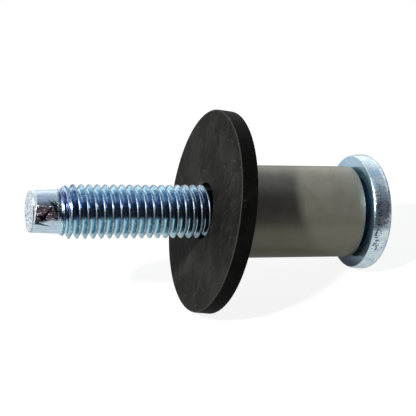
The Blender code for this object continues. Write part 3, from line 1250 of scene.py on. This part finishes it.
    def lay_head(self, shell: Shell, start: np.ndarray) -> None:
        """Lay the shank, the head and its drive recess, down to the middle of the recess's floor.

        The outer face runs in straight lines from its edge to the drive's outline, which goes on
        down the chamfer and the wall and shrinks evenly to the middle of the coned floor.

        Args:
            shell: the mesh in the making.
            start: numbers of the ring before the neck.
        """
        angle = column_angles(self.columns)[None, :]
        body = self.body_profile()
        shank = shell.lay(on_axis(body[:, :1], body[:, 1:], angle))
        shell.weave(np.concatenate([start[None, :], shank]), Skin.SHADED)
        rim = self.head_profile()
        outline = self.drive_outline(angle)
        face_x = self.shank_length + self.head_thickness
        floor_x = face_x - self.drive_depth
        face_share = np.linspace(0, 1, 6)[1:, None]
        mouth = outline + self.drive_chamfer
        cut_x = np.array([[face_x - self.drive_chamfer / 2], [face_x - self.drive_chamfer]])
        cut_radius = np.concatenate([outline + self.drive_chamfer * 0.3, outline])
        wall_x = np.linspace(face_x - self.drive_chamfer, floor_x, 10)[1:, None]
        floor_share = np.linspace(1, 0, 5)[1:-1, None]
        head = shell.lay(np.concatenate([
            on_axis(rim[:, :1], rim[:, 1:], angle),
            on_axis(face_x, self.face_radius + (mouth - self.face_radius) * face_share, angle),
            on_axis(cut_x, cut_radius, angle),
            on_axis(wall_x, outline, angle),
            on_axis(floor_x - self.drive_cone * (1 - floor_share), outline * floor_share, angle),
        ]))
        rim_row, drive_row = self.underside_rows, len(rim) + len(face_share)
        shell.weave(np.concatenate([shank[-1:], head[:rim_row + 1]]), Skin.SHADED)
        shell.weave(head[rim_row:drive_row + 1], Skin.RIM)
        shell.weave(head[drive_row:], Skin.DRIVE)
        hub = shell.lay(np.array([[floor_x - self.drive_cone, 0.0, 0.0]]))[0]
        shell.fan(hub, np.append(head[-1], head[-1, 0]), Skin.DRIVE)

    def build(self) -> bpy.types.Object:
        """Build and dress the bolt.

        Returns:
            The piece, riding on the bolt's body.
        """
        shell = Shell()
        ring = self.lay_dog(shell)
        ring = self.lay_thread(shell, ring)
        self.lay_head(shell, ring)
        finishes = {
            Skin.THREAD: ZincPlate(),
            Skin.RIM: ForgedZinc(),
            Skin.DOG: StruckZinc(),
            Skin.SHADED: ShadedZinc(),
            # The drive recess wears a darker, greyer copy of the plating, as painted shade in the
            # recess.
            Skin.DRIVE: ShadedZinc(
                name="drive_shade_zinc",
                petrol=(0.26, 0.33, 0.38),
                cyan_and_top_light=(0.36, 0.43, 0.47),
                bottom_shade=(0.14, 0.18, 0.24),
                roughness=0.3,
            ),
        }
        materials = [finishes[skin].material(self.place) for skin in Skin]
        piece = shell.make("bolt_plated", self.place, materials)
        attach(piece, Body.BOLT.value)
        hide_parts("bolt")
        return piece


@dataclass(frozen=True)
class Pipe:
    """A round piece with a bore: chamfered half-section turned about its axis."""

    length: float
    bore_radius: float
    outer_radius: float
    bore_chamfer: float
    outer_chamfer: float
    columns: int
    rows: int = 10

    def profile(self) -> np.ndarray:
        """Closed half-section with slightly rounded chamfers, as rows of x and radius."""
        half = self.length / 2
        inner, bore = self.bore_radius, self.bore_chamfer
        outer, edge = self.outer_radius, self.outer_chamfer
        corner = outer - edge
        return np.concatenate([
            line((-half, corner), (-half, inner + bore), self.rows)[::-1],
            arc((-half + edge, corner), (-edge, edge), 0, 90, 6),
            line((-half + edge, outer), (half - edge, outer), self.rows),
            arc((half - edge, corner), (edge, edge), 90, 0, 6),
            line((half, corner), (half, inner + bore), self.rows),
            arc((half - bore, inner + bore), (bore, -bore), 0, 90, 5),
            line((half - bore, inner), (-half + bore, inner), self.rows),
            arc((-half + bore, inner + bore), (-bore, -bore), 90, 0, 5),
        ])

    def lay(self, shell: Shell) -> None:
        """Lay the turned surface and close it on its first row."""
        profile = self.profile()
        angle = column_angles(self.columns)[None, :]
        grid = shell.lay(on_axis(profile[:, :1], profile[:, 1:], angle))
        shell.weave(np.concatenate([grid, grid[:1]]))


@dataclass
class Sleeve:
    """The satin sleeve that turns on the shank."""

    place: Place
    shape: Pipe = Pipe(
        length=24.9,
        bore_radius=6.95,
        outer_radius=8.73 * SLEEVE_INSCRIBED,
        bore_chamfer=0.6,
        outer_chamfer=0.25,
        columns=192,
    )

    def build(self) -> bpy.types.Object:
        """Build and dress the sleeve.

        Returns:
            The piece, riding on the sleeve's body.
        """
        shell = Shell()
        self.shape.lay(shell)
        piece = shell.make("sleeve_satin", self.place, [SatinSteel().material(self.place)])
        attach(piece, Body.SLEEVE.value)
        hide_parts("sleeve")
        return piece


@dataclass
class Washer:
    """The loose black washer."""

    place: Place
    shape: Pipe = Pipe(
        length=3.05,
        bore_radius=5.22,
        outer_radius=19.0 * BOLT_INSCRIBED,
        bore_chamfer=0.15,
        outer_chamfer=0.25,
        columns=256,
    )

    def build(self) -> bpy.types.Object:
        """Build and dress the washer.

        Returns:
            The piece, riding on the bolt's body.
        """
        shell = Shell()
        self.shape.lay(shell)
        piece = shell.make("washer_black", self.place, [BlackPhosphate().material(self.place)])
        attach(piece, Body.BOLT.value)
        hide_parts("washer")
        return piece


@dataclass(frozen=True)
class Studio:
    """White floor, a white tent with a dark front opening, a key light and the camera.

    Places and sizes are in millimetres, angles in degrees.
    """

    floor_low: tuple = (-350.0, -60.0, -0.02)
    floor_high: tuple = (70.0, 500.0, -0.02)
    floor_white: Colour = (0.31, 0.31, 0.31)
    floor_glow: float = 1.6
    floor_seen: float = 0.55
    floor_mirrored: float = 0.17
    tent: Colour = (1.2, 1.2, 1.2)
    ceiling: Colour = (0.45, 0.48, 0.55)
    opening: Colour = (0.075, 0.070, 0.082)
    ceiling_end: Span = (114.0, 156.0)
    opening_end: Span = (54.0, 92.0)
    key_toward: tuple = (-0.579, -0.430, 0.693)
    key_distance: float = 600.0
    key_size: float = 60.0
    key_power: float = 5.8
    camera_place: tuple = (-46.765, -189.382, 108.820)
    camera_turn: tuple = (65.0736, 6.6877, -16.8315)
    lens: float = 100.0
    sensor: float = 36.0
    clip_start: float = 0.01

    def make_floor(self) -> None:
        """Pale floor, whitened to the eye, and a little in metal, under the object's own shadow.

        The glow's share is seen for camera and transmission rays and mirrored for glossy ones.
        At 0.55 of a strength of 1.6 it is 0.88 of white, and the paint under the key adds the rest.
        """
        (left, front, level), (right, back, _) = self.floor_low, self.floor_high
        outline = ((left, front), (right, front), (right, back), (left, back))
        corners = np.array([(x, y, level) for x, y in outline]) * MM
        mesh = bpy.data.meshes.new("floor")
        mesh.from_pydata(corners, [], [(0, 1, 2, 3)])
        material, bench = new_bench("floor_white")
        camera, glass, glossy = bench.rays("Camera", "Transmission", "Glossy")
        share = (camera + glass) * self.floor_seen + glossy * self.floor_mirrored
        paint = bench.add("ShaderNodeBsdfDiffuse", None, {"Color": self.floor_white})
        glow = bench.add("ShaderNodeEmission", None, {"Color": WHITE, "Strength": self.floor_glow})
        shaders = {0: share, 1: paint.outputs[0], 2: glow.outputs[0]}
        mixed = bench.add("ShaderNodeMixShader", None, shaders)
        bench.add("ShaderNodeOutputMaterial", None, {"Surface": mixed.outputs[0]})
        mesh.materials.append(material)
        floor = bpy.data.objects.new("floor", mesh)
        bpy.context.scene.collection.objects.link(floor)

    def make_world(self) -> None:
        """Tent of light: white behind, dimmer overhead and dark through the opening in front.

        The angle runs over the tent in the plane across the bolt, from the horizon in front at
        0, over the top at a quarter turn, to the horizon behind: it is atan2(z, -y). Camera and
        transmission rays see plain white. Glossy rays keep the tent, because its white back and
        its dark opening, where the camera stands, make the bands along the plated thread.
        """
        world = bpy.data.worlds.new("studio")
        world.use_nodes = True
        bench = Bench(world.node_tree)
        direction = bench.add("ShaderNodeTexCoord").outputs["Generated"]
        _, y, z = bench.split(direction)
        angle = bench.maths("ARCTAN2", z, y * -1.0)
        over, front = (
            1 - angle.rise(math.radians(start), math.radians(end))
            for start, end in (self.ceiling_end, self.opening_end)
        )
        camera, glass = bench.rays("Camera", "Transmission")
        colour = bench.layers(
            self.tent, (over, self.ceiling), (front, self.opening), (camera + glass, WHITE)
        )
        background = bench.add("ShaderNodeBackground", None, {"Color": colour, "Strength": 1.0})
        bench.add("ShaderNodeOutputWorld", None, {"Surface": background.outputs[0]})
        bpy.context.scene.world = world

    def make_key(self) -> None:
        """Round soft light from the front left, whose washer shadow falls across the sleeve."""
        data = bpy.data.lights.new("key", "AREA")
        data.shape = "DISK"
        data.size = self.key_size * MM
        data.energy = self.key_power
        toward = Vector(self.key_toward).normalized()
        key = bpy.data.objects.new("key", data)
        key.location = toward * self.key_distance * MM
        key.rotation_euler = toward.to_track_quat("Z", "Y").to_euler()
        bpy.context.scene.collection.objects.link(key)

    def make_camera(self) -> None:
        """Camera at the photograph's angle, in front and somewhat above."""
        data = bpy.data.cameras.new("camera")
        data.lens = self.lens
        data.sensor_width = self.sensor
        data.clip_start = self.clip_start
        camera = bpy.data.objects.new("camera", data)
        camera.location = Vector(self.camera_place) * MM
        camera.rotation_euler = tuple(math.radians(part) for part in self.camera_turn)
        bpy.context.scene.collection.objects.link(camera)
        bpy.context.scene.camera = camera


def middle_of(node: str) -> Vector:
    """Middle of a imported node's box."""
    low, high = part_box(node)
    return (low + high) / 2


def main() -> None:
    """Build the pieces in order, then the studio."""
    logging.basicConfig(level=logging.INFO, format="%(name)s: %(message)s")
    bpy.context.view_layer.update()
    mounts = {mount["name"]: mount for mount in frame["record"]["mounts"]}
    joint = frame["joints"][0]
    axis = Vector(joint["axis"]).normalized()
    sleeve_place = Place(Vector(joint["pos_m"]), axis)
    washer_axis = -Vector(mounts["washer_face"]["axis"]).normalized()
    washer_place = Place(middle_of("washer"), washer_axis)
    head_reach = (Vector(mounts["head_face"]["pos_m"]) - sleeve_place.origin).dot(axis)
    head_length = (Bolt.shank_length + Bolt.head_thickness) * MM
    bolt_place = Place(sleeve_place.origin + axis * (head_reach - head_length), axis)
    for maker in (Bolt(bolt_place), Sleeve(sleeve_place), Washer(washer_place)):
        piece = maker.build()
        LOG.info("%s: %d faces", piece.name, len(piece.data.polygons))

    studio = Studio()
    studio.make_floor()
    studio.make_world()
    studio.make_key()
    studio.make_camera()
    bpy.context.scene.view_settings.view_transform = "Standard"


if __name__ == "__main__":
    main()
